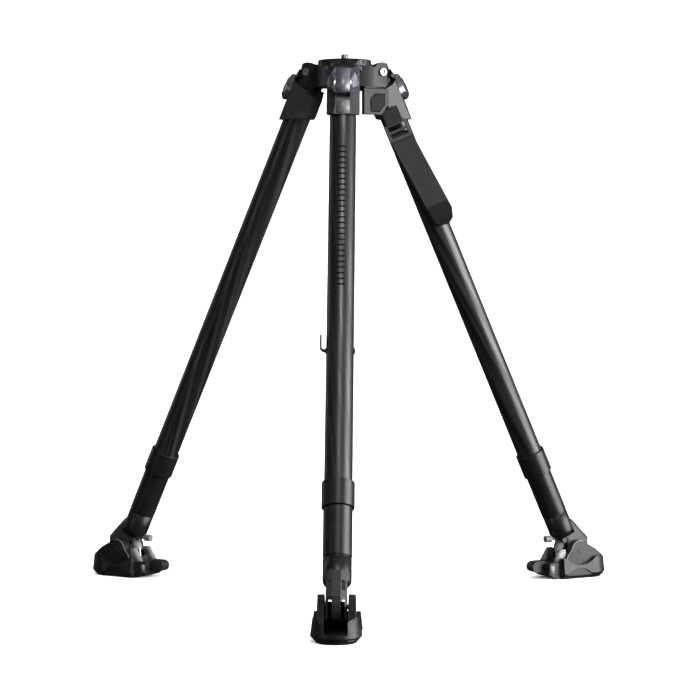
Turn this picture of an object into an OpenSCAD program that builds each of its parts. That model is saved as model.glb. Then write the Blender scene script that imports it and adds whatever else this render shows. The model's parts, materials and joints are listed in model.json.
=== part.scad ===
// Three-leg camera support with a flat head plate, two-stage carbon legs and tilting spiked feet.
// The origin is the centre of the head plate's upper face, +Z up. One leg points along -Y.
// Leg parts are drawn in a leg frame: pivot at the origin, +X square to the leg and outwards,
// +Y sideways, and the leg running down -Z. Foot parts are drawn upright over the floor point
// where the leg's axis meets the floor.

/* [Head] */
// Radius of the round head plate
plate_r = 36.9; // [36:0.1:38]
// Thickness of the head plate
plate_t = 9; // [7:0.5:9]
// Radius of the camera stud, 3/8 inch thread taken at its crest
stud_r = 4.76; // [4.7:0.01:4.8]
// Height of the stud above the plate
stud_up = 8; // [6:0.5:12]

/* [Stance] */
// Distance of each leg pivot from the centre line
pivot_r = 48.4; // [48:0.1:50]
// Depth of the leg pivots below the plate's upper face
pivot_drop = 15.8; // [15.5:0.1:16.5]
// Lean of each leg from the vertical
lean = 25.5; // [24:0.25:27]
// Length along a leg's axis from its pivot to the floor
leg_len = 804; // [790:1:830]

/* [Leg] */
// Outer radius of the upper tube
tube_r = 18; // [17.9:0.05:18]
// Wall of the upper and middle tubes
tube_wall = 1.8; // [1.6:0.1:1.8]
// Distance down the leg to the lower end of the upper collar
upper_end = 632; // [600:1:640]
// Length of the upper collar
collar_len = 34; // [30:1:40]
// Outer radius of the upper collar
collar_r = 21; // [20:0.5:22]
// Length of the middle collar
middle_len = 65; // [60:1:68]
// Outer radius of the middle collar
middle_r = 18.5; // [18.2:0.1:19]

/* [Foot] */
// Half the width of the shoe at the floor
shoe_half = 32; // [31:0.5:33]
// Height of the shoe's pivot above the floor
ankle_up = 40; // [39.5:0.5:40.5]
// Inward offset of the shoe's pivot from where the leg's axis meets the floor
ankle_in = 15; // [14.5:0.5:15.5]

/* [Strap] */
// Width of the carrying strap
strap_w = 33; // [28:1:34]
// Thickness of the strap
strap_t = 2.4; // [2:0.1:2.6]

/* [Hidden] */
$fn = 64;
LEGS = [["front", -90], ["right", 30], ["left", 150]];
LEG_PARTS = ["shoulder", "paddle", "paddle_pin", "upper_tube", "upper_collar", "middle_tube",
    "middle_guide", "middle_collar", "lower_tube", "lower_guide", "end_cap", "spike",
    "stirrup", "foot_pin", "shoe", "latch_knob"];
CENTRE_PARTS = ["crown", "head_plate", "head_stud", "clamp_knob", "pivot_bolts", "release_block",
    "release_button", "hook_clip", "strap_anchor", "strap_buckle", "carry_strap", "strap_end"];

FRONT = LEGS[0][1];
RIGHT = LEGS[1][1];
eps = 0.01;
// running gap of a shaft in its bore, on the radius
run = 0.05;
// gap between faces that pass one another
gap = 0.4;

foot_r = pivot_r + leg_len * sin(lean);
floor_z = -pivot_drop - leg_len * cos(lean);

// crown
crown_low = -37;
hub_r = 34.5;
wall_out = 36;
lug_in = 13.2;
lug_out = 21.8;
bolt_r = 4;
bolt_head_r = 5.8;
bolt_head_t = 2.6;
detent_r = 16.5;
detent_half = 4;
knuckle_r = 12.5;
knuckle_half = lug_in - 0.3;

// shoulder
shoulder_half = 22.2;
socket_top = 32;
sleeve_out = 21.5;
sleeve_in = -21;
sleeve_low_out = 80;
sleeve_low_in = 61;
paddle_pin_r = 2;
paddle_pin_x = 18.5;
paddle_pin_a = 16;
paddle_pin_half = 11;
paddle_lug_half = 8;

// telescoping tubes
bore_r = tube_r - tube_wall;
middle_tube_r = 15.5;
middle_bore_r = middle_tube_r - tube_wall + 0.3;
lower_tube_r = 13.3;
lower_bore_r = 11.8;
tube_stop = upper_end - 6;
middle_end = upper_end + middle_len;
cap_top = middle_end + 0.6;
cap_low = 736;
cap_r = 18.25;
middle_top = 64;
lower_top = 84;

// foot
spike_lean = 20;
spike_x = -30;
spike_z = 60;
stirrup_half = 13.2;
spine_half = 5.5;
hood_x = 10.5;
hood_z = 57;
hood_turn = 46;
hood_run = 28.5 / tan(hood_turn);
boss_half = 23.7;
toe_x = 38;
heel_x = -47;
boss_r = 15.5;
foot_pin_r = 3;
knob_z = 57;

// lug, anchor and strap stand on the side of the right leg that faces the front
strap_turn = -110;
strap_y = -4;
tip_y = 10;

// ---- placing ----

module on_leg(azimuth) {
    rotate([0, 0, azimuth])
        translate([pivot_r, 0, -pivot_drop])
            rotate([0, -lean, 0])
                children();
}

module on_floor(azimuth) {
    rotate([0, 0, azimuth])
        translate([foot_r, 0, floor_z])
            children();
}

// A solid of revolution about the leg's axis between two distances down the leg.
module along_leg(from, to, r) {
    translate([0, 0, -to])
        cylinder(h = to - from, r = r);
}

// A shape drawn as [outwards, up] points, given a thickness sideways from y0 to y1.
module sideways(y0, y1) {
    translate([0, y1, 0])
        rotate([90, 0, 0])
            linear_extrude(y1 - y0)
                children();
}

module both_sides() {
    children();
    mirror([0, 1, 0])
        children();
}

module cross_pin(x, z, r, half) {
    translate([x, half, z])
        rotate([90, 0, 0])
            cylinder(h = 2 * half, r = r);
}

// ---- head and crown ----

module head_plate() {
    notches = 12;
    color("#2b2b2d")
        difference() {
            union() {
                translate([0, 0, -1.2])
                    cylinder(h = 1.2, r1 = plate_r, r2 = plate_r - 1.2, $fn = 96);
                translate([0, 0, -plate_t])
                    cylinder(h = plate_t - 1.2, r = plate_r, $fn = 96);
            }
            for (i = [0 : notches - 1])
                rotate([0, 0, 15 + i * 360 / notches])
                    translate([plate_r, 0, -plate_t + 1.6])
                        cylinder(h = plate_t - 3.2, r = 1.1, $fn = 16);
            // well round the stud and its shank's bore
            translate([0, 0, -1])
                cylinder(h = 2, r = 9);
            translate([0, 0, -plate_t - 1])
                cylinder(h = plate_t + 2, r = stud_r + run);
        }
}

module head_stud() {
    flange_r = 8.4;
    color("#c9ccd0")
        union() {
            translate([0, 0, -52])
                cylinder(h = 52 + stud_up - 1, r = stud_r);
            translate([0, 0, stud_up - 1])
                cylinder(h = 1, r1 = stud_r, r2 = stud_r - 0.9);
            translate([0, 0, -1])
                cylinder(h = 0.9, r = flange_r);
        }
}

// Hand nut under the crown that draws the stud and plate down; it turns on the stud.
module clamp_knob() {
    knob_r = 15;
    knob_h = 13;
    lobes = 8;
    color("#1d1d1f")
        translate([0, 0, crown_low - 0.3 - knob_h])
            difference() {
                cylinder(h = knob_h, r = knob_r);
                for (i = [0 : lobes - 1])
                    rotate([0, 0, i * 360 / lobes])
                        translate([knob_r + 1.5, 0, -1])
                            cylinder(h = knob_h + 2, r = 3.4, $fn = 24);
                translate([0, 0, -1])
                    cylinder(h = knob_h + 2, r = stud_r + run);
            }
}

// Outline of one ear about the pivot: a round top that steps down to a chamfered foot.
module lug_outline() {
    lug_r = 13.6;
    foot_z = crown_low + pivot_drop + 0.5;
    circle(r = lug_r);
    polygon([[-12, 6.3], [-20, 6.3], [-20, foot_z], [5.5, foot_z], [11.6, -6], [8, 6.3]]);
}

// Leg arms: two ears with the bolt's bores and between them the toothed stop plate.
module crown_arm() {
    stop_low = crown_low + pivot_drop + 3;
    translate([pivot_r, 0, -pivot_drop]) {
        both_sides()
            difference() {
                sideways(lug_in, lug_out)
                    lug_outline();
                // broad chamfer down the ear's outer corner
                translate([0, 0, -30])
                    linear_extrude(60)
                        polygon([[6.6, lug_out + 0.1], [15, lug_out + 0.1], [15, 14.4]]);
            }
        sideways(-detent_half, detent_half)
            difference() {
                union() {
                    intersection() {
                        circle(r = detent_r);
                        polygon([[0, 0], [30, 8], [30, -40], [-8, -40]]);
                    }
                    circle(r = 9);
                    polygon([[-20, 2], [-1, 7], [-1, -8], [-20, stop_low]]);
                }
                // notches that the paddle's pawl drops into
                for (turn = [-64, -42, -14])
                    rotate(turn)
                        translate([detent_r, 0])
                            circle(r = 1.6, $fn = 20);
            }
    }
}

module crown() {
    wall_half = 22;
    color("#3a3b3e")
        difference() {
            union() {
                // round hub with a flat wall between each pair of arms
                translate([0, 0, crown_low])
                    linear_extrude(-crown_low - plate_t) {
                        rotate(45)
                            circle(r = hub_r);
                        for (leg = LEGS)
                            rotate(leg[1] + 60)
                                translate([20, -wall_half])
                                    square([wall_out - 20, 2 * wall_half]);
                    }
                for (leg = LEGS)
                    rotate([0, 0, leg[1]])
                        crown_arm();
            }
            // bore of the stud
            translate([0, 0, crown_low - 1])
                cylinder(h = -crown_low + 2, r = stud_r + run);
            // bores of the pivot bolts
            for (leg = LEGS)
                rotate([0, 0, leg[1]])
                    cross_pin_at_pivot();
        }
}

module cross_pin_at_pivot() {
    translate([pivot_r, 0, -pivot_drop])
        cross_pin(0, 0, bolt_r, lug_out + 1);
}

module pivot_bolts() {
    socket_r = 2.9;
    color("#d5d7da")
        for (leg = LEGS)
            rotate([0, 0, leg[1]])
                translate([pivot_r, 0, -pivot_drop])
                    difference() {
                        union() {
                            cross_pin(0, 0, bolt_r, lug_out + eps);
                            both_sides()
                                translate([0, lug_out + bolt_head_t, 0])
                                    rotate([90, 0, 0])
                                        cylinder(h = bolt_head_t, r1 = bolt_head_r - 0.5, r2 = bolt_head_r);
                        }
                        both_sides()
                            translate([0, lug_out + bolt_head_t + eps, 0])
                                rotate([90, 0, 0])
                                    cylinder(h = 1.8, r = socket_r, $fn = 6);
                    }
}

// ---- lock release block beside the right leg ----

block_out = 36;
block_back = 28.6;
block_r0 = 11;
block_r1 = 50;
block_top = crown_low - 3;
block_low = -76;
button_r = 32;
button_z = -59.6;
button_w = 11;
button_h = 11.8;
button_travel = 2;

module button_outline(grow) {
    w = button_w + grow;
    h = button_h + grow;
    polygon([[-w, h * 0.33], [-w * 0.35, h], [w, h], [w, -h * 0.2], [w * 0.27, -h], [-w * 0.9, -h]]);
}

module release_block() {
    color("#6d6f73")
        rotate([0, 0, RIGHT])
            difference() {
                union() {
                    sideways(-block_out, -block_back)
                        polygon([[block_r0, block_top], [block_r1, block_top], [block_r1, block_low + 15],
                            [block_r1 - 11, block_low], [block_r0, block_low]]);
                    // flange under the crown's wall
                    translate([block_r0 + 2, -block_out + 1, block_top - 3])
                        cube([20, 20, crown_low - block_top + 3]);
                }
                // well of the button, and the bore of its stem
                translate([button_r, 0, button_z])
                    sideways(-block_out - 1, -block_out + 4)
                        button_outline(0.4);
                translate([button_r, -block_back + 1, button_z])
                    rotate([90, 0, 0])
                        cylinder(h = block_out - block_back, r = 2.5 + run, $fn = 32);
            }
}

module release_button() {
    color("#1c1c1e")
        rotate([0, 0, RIGHT])
            union() {
                translate([button_r, 0, button_z])
                    sideways(-block_out - 0.8, -block_out + 4 - button_travel - 0.2)
                        button_outline(0);
                translate([button_r, -block_back - 2.2, button_z])
                    rotate([90, 0, 0])
                        cylinder(h = 4.6, r = 2.5, $fn = 32);
            }
}

// ---- leg: shoulder and angle lock ----

// Octagon round the socket, as [outwards, sideways], grown by a margin.
module sleeve_section(grow) {
    o = sleeve_out + grow;
    i = sleeve_in - grow;
    h = shoulder_half + grow;
    face = 10.3;
    flank = 12.5;
    polygon([[o, -face], [o, face], [flank, h], [-flank, h], [i, face + 1], [i, -face - 1],
        [-flank, -h], [flank, -h]]);
}

// Side profile of the shoulder, as [outwards, up the leg].
module shoulder_profile() {
    polygon(concat(
        [for (t = [160 : -5 : 10]) knuckle_r * [cos(t), sin(t)]],
        [[15, -3], [20, -9], [sleeve_out, -13], [sleeve_out, -66], [sleeve_out - 2, -sleeve_low_out],
            [sleeve_in + 1, -sleeve_low_in], [sleeve_in, -56], [sleeve_in, -34], [-15, -27],
            [-knuckle_r - 0.3, -24]]));
}

// Room for the crown's ears as the leg swings from folded to fully spread.
module lug_sweep() {
    sweep_r = 22.4;
    circle(r = 14.2);
    intersection() {
        circle(r = sweep_r);
        polygon([[0, 0], [36, -40], [-40, -60], [-60, 0], [-40, 30]]);
    }
    polygon([[0, 0], [-40, 30], [-40, -24], [0, -22.4]]);
}

module shoulder() {
    slot_r = detent_r + 0.7;
    color("#4a4b4f")
        difference() {
            intersection() {
                sideways(-shoulder_half, shoulder_half)
                    shoulder_profile();
                translate([0, 0, -100])
                    linear_extrude(120)
                        sleeve_section(0);
            }
            both_sides()
                sideways(knuckle_half, shoulder_half + 1)
                    lug_sweep();
            // slot for the stop plate and the pawl
            sideways(-detent_half - gap, detent_half + gap) {
                circle(r = slot_r);
                polygon([[-60, 40], [0, slot_r], [0, -slot_r], [-14, -24], [-60, -24]]);
                polygon([[2, -12], [2, -24.5], [30, -24.5], [30, -8], [12, -8]]);
            }
            // room for the paddle's hinge lug
            sideways(-paddle_lug_half - gap, paddle_lug_half + gap) {
                translate([paddle_pin_x, -paddle_pin_a])
                    circle(r = 5.2);
                polygon([[paddle_pin_x, -10.8], [40, -5], [40, -24], [paddle_pin_x, -21.2]]);
            }
            // bore of the paddle's pin, open on one side
            sideways(-paddle_pin_half, shoulder_half + 1)
                translate([paddle_pin_x, -paddle_pin_a])
                    circle(r = paddle_pin_r);
            cross_pin(0, 0, bolt_r + run, shoulder_half + 1);
            along_leg(socket_top, sleeve_low_out + 5, tube_r);
            // ledge under the paddle's lip, so that a fingertip gets behind it
            translate([sleeve_out - 2.2, -9, -58])
                cube([10, 18, 11]);
        }
}

// Pull-out lever that lifts the pawl from the stop plate.
module paddle() {
    color("#8b8b98")
        difference() {
            union() {
                intersection() {
                    sideways(-shoulder_half, shoulder_half)
                        polygon([[14, -20], [22.5, -14], [27.5, -13.5], [29, -23], [32.5, -34], [31.7, -42],
                            [28.2, -51], [25, -51.5], [23, -47], [14, -45]]);
                    // outline seen from outside: a straight centre panel between two rounded ears
                    translate([50, 0, 0])
                        rotate([0, -90, 0])
                            linear_extrude(60)
                                polygon([[-13, -10.9], [-13, 10.9], [-19, 13.5], [-26, 19.5], [-33, 21.7],
                                    [-40, 20], [-47, 13], [-52, 10.9], [-52, -10.9], [-47, -13],
                                    [-40, -20], [-33, -21.7], [-26, -19.5], [-19, -13.5]]);
                    // ears slope back from the centre panel
                    translate([0, 0, -60])
                        linear_extrude(60)
                            difference() {
                                polygon([[10, -21.7], [10, 21.7], [21, 21.7], [27, 17.5], [33, 10.9],
                                    [33, -10.9], [27, -17.5], [21, -21.7]]);
                                sleeve_section(0.7);
                            }
                }
                sideways(-paddle_lug_half, paddle_lug_half) {
                    translate([paddle_pin_x, -paddle_pin_a])
                        circle(r = 4.6);
                    polygon([[paddle_pin_x, -11.6], [24, -14.2], [24, -20.4], [paddle_pin_x, -20.4]]);
                }
                // pawl
                sideways(-detent_half + 0.5, detent_half - 0.5)
                    polygon([[paddle_pin_x, -12.5], [paddle_pin_x, -20.5], [10, -21.5], [5.6, -20.2],
                        [7.6, -15.9], [12, -14.4]]);
            }
            cross_pin(paddle_pin_x, -paddle_pin_a, paddle_pin_r + run, shoulder_half);
        }
}

module paddle_pin() {
    color("#b5b7ba")
        cross_pin(paddle_pin_x, -paddle_pin_a, paddle_pin_r, paddle_pin_half);
}

// ---- leg: telescoping tubes ----

module upper_tube() {
    color("#29292b")
        difference() {
            along_leg(socket_top, tube_stop, tube_r);
            along_leg(socket_top - 1, tube_stop + 1, bore_r);
        }
}

module upper_collar() {
    color("#232325")
        difference() {
            along_leg(upper_end - collar_len, upper_end, collar_r);
            along_leg(upper_end - collar_len - 1, tube_stop, tube_r);
            along_leg(upper_end - collar_len, upper_end + 1, middle_tube_r + 2 * run);
        }
}

module middle_tube() {
    color("#29292b")
        difference() {
            along_leg(middle_top, middle_end - 7, middle_tube_r);
            along_leg(middle_top - 1, middle_end, middle_bore_r);
        }
}

// Slide bush and end plug at the top of the middle tube.
module middle_guide() {
    guide_r = bore_r - 2 * run;
    color("#d8d8d4")
        difference() {
            along_leg(middle_top - 6, middle_top + 46, guide_r);
            along_leg(middle_top, middle_top + 47, middle_tube_r);
        }
}

module middle_collar() {
    color("#232325")
        difference() {
            along_leg(upper_end + 0.3, middle_end, middle_r);
            along_leg(upper_end, middle_end - 7, middle_tube_r);
            along_leg(upper_end, middle_end + 1, lower_tube_r + 2 * run);
        }
}

module lower_tube() {
    color("#29292b")
        difference() {
            along_leg(lower_top, cap_low - 11, lower_tube_r);
            along_leg(lower_top - 1, cap_low, lower_bore_r);
        }
}

module lower_guide() {
    guide_r = middle_bore_r - 2 * run;
    color("#d8d8d4")
        difference() {
            along_leg(lower_top - 6, lower_top + 46, guide_r);
            along_leg(lower_top, lower_top + 47, lower_tube_r);
        }
}

// Plug on the lower tube: a plain barrel with a groove under its rim and a rounded end.
module end_cap() {
    round_r = 9;
    color("#1e1e20")
        difference() {
            translate([0, 0, -cap_low])
                rotate_extrude()
                    polygon(concat(
                        [[0, 0], [cap_r - round_r, 0]],
                        [for (t = [0 : 15 : 90])
                            [cap_r - round_r + round_r * sin(t), round_r - round_r * cos(t)]],
                        [[cap_r, cap_low - cap_top - 2.2], [cap_r - 0.8, cap_low - cap_top - 1.8],
                            [cap_r - 0.8, cap_low - cap_top], [0, cap_low - cap_top]]));
            along_leg(cap_top - 1, cap_low - 11, lower_tube_r);
            // blind bore of the latch knob's stem, drawn level
            latch_bore();
        }
}

// The latch knob's axis is level, so it is placed from the floor frame into the leg frame.
module from_floor() {
    rotate([0, lean, 0])
        translate([foot_r - pivot_r, 0, floor_z + pivot_drop])
            children();
}

module latch_bore() {
    from_floor()
        translate([-60, 0, knob_z])
            rotate([0, 90, 0])
                cylinder(h = 25, r = 2.5 + run, $fn = 32);
}

// ---- foot ----

module latch_knob() {
    color("#1d1d1f")
        translate([-61, 0, knob_z])
            rotate([0, 90, 0])
                difference() {
                    union() {
                        cylinder(h = 10, r = 5.1, $fn = 48);
                        cylinder(h = 22, r = 2.5, $fn = 32);
                    }
                    translate([0, 0, 3])
                        rotate_extrude($fn = 48)
                            translate([5.6, 0])
                                circle(r = 1.1, $fn = 20);
                }
}

// Outline of the ankle link from the side, as [outwards, up].
module stirrup_profile() {
    polygon([[-27, 88], [-18, hood_z + hood_run], [hood_x, hood_z], [hood_x, 47], [5, 28], [-1, 22],
        [-20, 14], [-28, 22], [-29, 58], [-40, 62], [-44, 76]]);
}

// Wedge that slopes back from the spine's edge to the side plate, as [outwards, sideways].
module hood_bevel() {
    depth = 6.5;
    both_sides()
        polygon([[0.01, spine_half], [-depth, stirrup_half + 0.1], [6, stirrup_half + 0.1],
            [6, spine_half]]);
}

module spike_axis() {
    translate([spike_x, 0, spike_z])
        rotate([0, 180 + spike_lean, 0])
            children();
}

module stirrup() {
    inner_half = 10.4;
    spine_in = 3;
    barrel_r = 6.5;
    color("#7a7c80")
        difference() {
            union() {
                difference() {
                    sideways(-stirrup_half, stirrup_half)
                        stirrup_profile();
                    // hood: a narrow flat front between two sloping sides
                    translate([hood_x, 0, 0])
                        linear_extrude(hood_z + 4)
                            hood_bevel();
                    translate([hood_x, 0, hood_z])
                        rotate([0, -hood_turn, 0])
                            translate([0, 0, -4])
                                linear_extrude(60)
                                    hood_bevel();
                    // open middle between the side plates, below the end cap
                    sideways(-inner_half, inner_half)
                        polygon([[-60, 0], [spine_in, 0], [spine_in, 55], [-12, 59], [-45, 56], [-60, 40]]);
                    // openings each side of the spine
                    both_sides()
                        sideways(spine_half, inner_half)
                            polygon([[-5, 0], [30, 0], [30, 52], [-5, 52]]);
                    // slots in the sloping shoulders
                    both_sides()
                        sideways(spine_half + 1.2, inner_half + 0.8)
                            polygon([[-12, 72], [-1, 61.5], [6, 68], [-5, 79]]);
                    // clear of the shoe's floor and of its hollow as it tilts
                    translate([-ankle_in, 0, ankle_up])
                        ankle_clearance();
                }
                // boss that holds the spike, and the web that carries it
                spike_axis()
                    cylinder(h = 22.5, r = 6.2, $fn = 48);
                sideways(-inner_half - 1, inner_half + 1)
                    polygon([[-39, 60], [-36, 51], [-24, 53], [-12, 58], [-20, 67], [-34, 66]]);
                // barrel round the foot pin
                cross_pin(-ankle_in, ankle_up, barrel_r, stirrup_half);
            }
            from_leg()
                translate([0, 0, -cap_low])
                    cylinder(h = cap_low - cap_top + 40, r = cap_r);
            spike_axis()
                translate([0, 0, 8])
                    cylinder(h = 20, r = 2.6, $fn = 32);
            cross_pin(-ankle_in, ankle_up, foot_pin_r + run, stirrup_half + 1);
            // relief for the latch knob
            translate([-70, 0, knob_z])
                rotate([0, 90, 0])
                    cylinder(h = 36, r = 6, $fn = 48);
        }
}

// The part of the stirrup below the ankle's own height stays inside this radius.
module ankle_clearance() {
    reach = 29;
    sideways(-40, 40)
        difference() {
            polygon([[-60, 4], [60, 4], [60, -60], [-60, -60]]);
            circle(r = reach);
        }
}

// Leg-frame shapes carried into the floor frame.
module from_leg() {
    translate([pivot_r - foot_r, 0, -pivot_drop - floor_z])
        rotate([0, -lean, 0])
            children();
}

module spike() {
    color("#dfe1e4")
        spike_axis()
            rotate_extrude($fn = 48)
                polygon([[0, 8], [2.6, 8], [2.6, 22.5], [4.6, 22.5], [4.6, 25], [4, 25.8],
                    [0.8, 37.2], [0, 37.2]]);
}

module foot_pin() {
    color("#b5b7ba")
        cross_pin(-ankle_in, ankle_up, foot_pin_r, boss_half + 0.6);
}

// Plan outline of the shoe: straight sides with a round toe.
module shoe_plan(half) {
    intersection() {
        union() {
            translate([toe_x - shoe_half, 0])
                circle(r = half);
            translate([heel_x, -half])
                square([toe_x - shoe_half - heel_x, 2 * half]);
        }
        translate([heel_x, -half])
            square([100, 2 * half]);
    }
}

module shoe() {
    cavity_half = stirrup_half + 1.6;
    block_half = 22;
    color("#3f4043")
        difference() {
            union() {
                // wide lower body that flares to a ridge and pulls in again to the sole
                intersection() {
                    hull() {
                        linear_extrude(eps)
                            shoe_plan(shoe_half - 7, $fn = 48);
                        translate([0, 0, 8])
                            linear_extrude(eps)
                                shoe_plan(shoe_half, $fn = 48);
                        translate([0, 0, 36])
                            linear_extrude(eps)
                                shoe_plan(shoe_half - 3.4, $fn = 48);
                    }
                    sideways(-40, 40)
                        polygon([[heel_x - 1, -1], [heel_x - 1, 30], [9, 31], [22, 33], [30, 29],
                            [toe_x, 20], [60, 8], [60, -1]]);
                }
                // cheeks that rise to the ankle bosses and run down to the toe
                intersection() {
                    both_sides()
                        sideways(cavity_half, boss_half) {
                            translate([-ankle_in, ankle_up])
                                circle(r = boss_r);
                            polygon([[heel_x - 2, 6], [-37, 34], [-29, ankle_up + 1],
                                [-ankle_in, ankle_up + boss_r - 1], [-5, 51], [12, 42], [25, 31],
                                [34, 19], [36, 9], [34, 4]]);
                        }
                    linear_extrude(60)
                        shoe_plan(shoe_half - 2, $fn = 96);
                }
                // risers at the back of the hollow
                both_sides()
                    sideways(cavity_half, 19)
                        polygon([[-57, 20], [-46, 42], [-38, 42], [-38, 20]]);
                // heel block and the pull tab behind it
                sideways(-block_half, block_half)
                    polygon([[-67, 8], [-60, 3], [heel_x + 1, 0], [heel_x + 1, 24], [-65, 24], [-67, 22]]);
                sideways(-9, 9)
                    polygon([[-66, 10], [-81, 10], [-86, 12.5], [-88, 18], [-86, 23.5], [-81, 26],
                        [-66, 26]]);
            }
            // flank cut back below the cheek in one sweep, and an arched scoop under it
            both_sides() {
                sideways(boss_half, 45)
                    translate([-17, 56])
                        circle(r = 36);
                sideways(shoe_half - 2.7, 45)
                    translate([-20, -13.3])
                        circle(r = 29.2);
            }
            // hollow that the stirrup stands in, open over a low sill at the toe
            translate([heel_x + 2.5, -cavity_half, 10])
                cube([toe_x - 8 - heel_x - 2.5, 2 * cavity_half, 60]);
            translate([0, -cavity_half, 12.5])
                cube([60, 2 * cavity_half, 60]);
            cross_pin(-ankle_in, ankle_up, foot_pin_r, 40);
        }
}

// ---- accessories ----

// Spring clip on the front leg's upper tube with an upturned hook on one side.
module hook_clip() {
    clip_a = 418;
    clip_h = 4;
    ring_r = tube_r + 1.8;
    hook_t = 2.4;
    hook_w = 7;
    bend_r = 6;
    stem_h = 16;
    color("#1b1b1d")
        on_leg(FRONT)
            translate([0, 0, -clip_a])
                union() {
                    translate([0, 0, -0.8])
                        linear_extrude(clip_h)
                            difference() {
                                circle(r = ring_r);
                                circle(r = tube_r);
                                translate([5, -30])
                                    square([40, 60]);
                            }
                    translate([-hook_w / 2, -ring_r - 0.5, bend_r])
                        rotate([90, 0, 90])
                            linear_extrude(hook_w)
                                polygon(concat(
                                    [for (t = [0 : 15 : 90]) bend_r * [-cos(t), -sin(t)]],
                                    [[1.6, -bend_r], [1.6, hook_t - bend_r]],
                                    [for (t = [90 : -15 : 0]) (bend_r - hook_t) * [-cos(t), -sin(t)]],
                                    [for (t = [0 : 30 : 180]) [(cos(t) + 1) * hook_t / 2 - bend_r,
                                        stem_h + sin(t) * hook_t / 2]]));
                }
}

module strap_frame() {
    on_leg(RIGHT)
        rotate([0, 0, strap_turn])
            children();
}

// Webbing loop fixed to the sleeve that carries the buckle.
module strap_anchor() {
    color("#141415")
        strap_frame()
            translate([25.3, -17, -72])
                cube([2, 24, 23]);
}

// Flat ladder buckle: a frame with two windows and a cross bar.
module strap_buckle() {
    color("#7d7f82")
        strap_frame()
            translate([22.6, -21, -95])
                difference() {
                    cube([2.6, 33, 24.6]);
                    translate([-1, 4, 3.6])
                        cube([6, 25, 6.8]);
                    translate([-1, 4, 14])
                        cube([6, 25, 6.8]);
                }
}

module carry_strap() {
    h = strap_w / 2;
    color("#3a3a3c")
        strap_frame()
            translate([tube_r + 0.8, 0, 0])
                rotate([90, 0, 90])
                    linear_extrude(strap_t)
                        polygon([[strap_y - h, -88], [strap_y + h, -88], [tip_y + h, -214],
                            [tip_y + h - 4, -228], [tip_y + 4, -234], [tip_y - h + 7, -232], [tip_y - h + 1, -226]]);
}

// Moulded tip over the strap's free end.
module strap_end() {
    h = strap_w / 2;
    color("#101011")
        strap_frame()
            translate([tube_r + 0.8 + strap_t, 0, 0])
                rotate([90, 0, 90])
                    linear_extrude(1.6)
                        polygon([[tip_y - h - 1.6, -202], [tip_y + h - 1.8, -202], [tip_y + h - 0.5, -213],
                            [tip_y + h - 4.4, -227.6], [tip_y + 4, -233.4], [tip_y - h + 7.4, -231.4],
                            [tip_y - h + 1.5, -226]]);
}

// ---- assembly ----

module leg_part(part, azimuth) {
    if (part == "shoulder") on_leg(azimuth) shoulder();
    if (part == "paddle") on_leg(azimuth) paddle();
    if (part == "paddle_pin") on_leg(azimuth) paddle_pin();
    if (part == "upper_tube") on_leg(azimuth) upper_tube();
    if (part == "upper_collar") on_leg(azimuth) upper_collar();
    if (part == "middle_tube") on_leg(azimuth) middle_tube();
    if (part == "middle_guide") on_leg(azimuth) middle_guide();
    if (part == "middle_collar") on_leg(azimuth) middle_collar();
    if (part == "lower_tube") on_leg(azimuth) lower_tube();
    if (part == "lower_guide") on_leg(azimuth) lower_guide();
    if (part == "end_cap") on_leg(azimuth) end_cap();
    if (part == "spike") on_floor(azimuth) spike();
    if (part == "stirrup") on_floor(azimuth) stirrup();
    if (part == "foot_pin") on_floor(azimuth) foot_pin();
    if (part == "shoe") on_floor(azimuth) shoe();
    if (part == "latch_knob") on_floor(azimuth) latch_knob();
}

crown();
head_plate();
head_stud();
clamp_knob();
pivot_bolts();
release_block();
release_button();
hook_clip();
strap_anchor();
strap_buckle();
carry_strap();
strap_end();
for (leg = LEGS)
    for (part = LEG_PARTS)
        leg_part(part, leg[1]);
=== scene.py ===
"""Looks for a three-leg camera support: carbon legs, cast shoulders, spiked feet in tilting shoes."""

import json
import logging
import math
from dataclasses import dataclass
from enum import Enum
from typing import Any, Callable, Dict, Iterable, List, Optional, Sequence, Tuple

import bpy
import bmesh
from mathutils import Matrix, Vector

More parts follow.
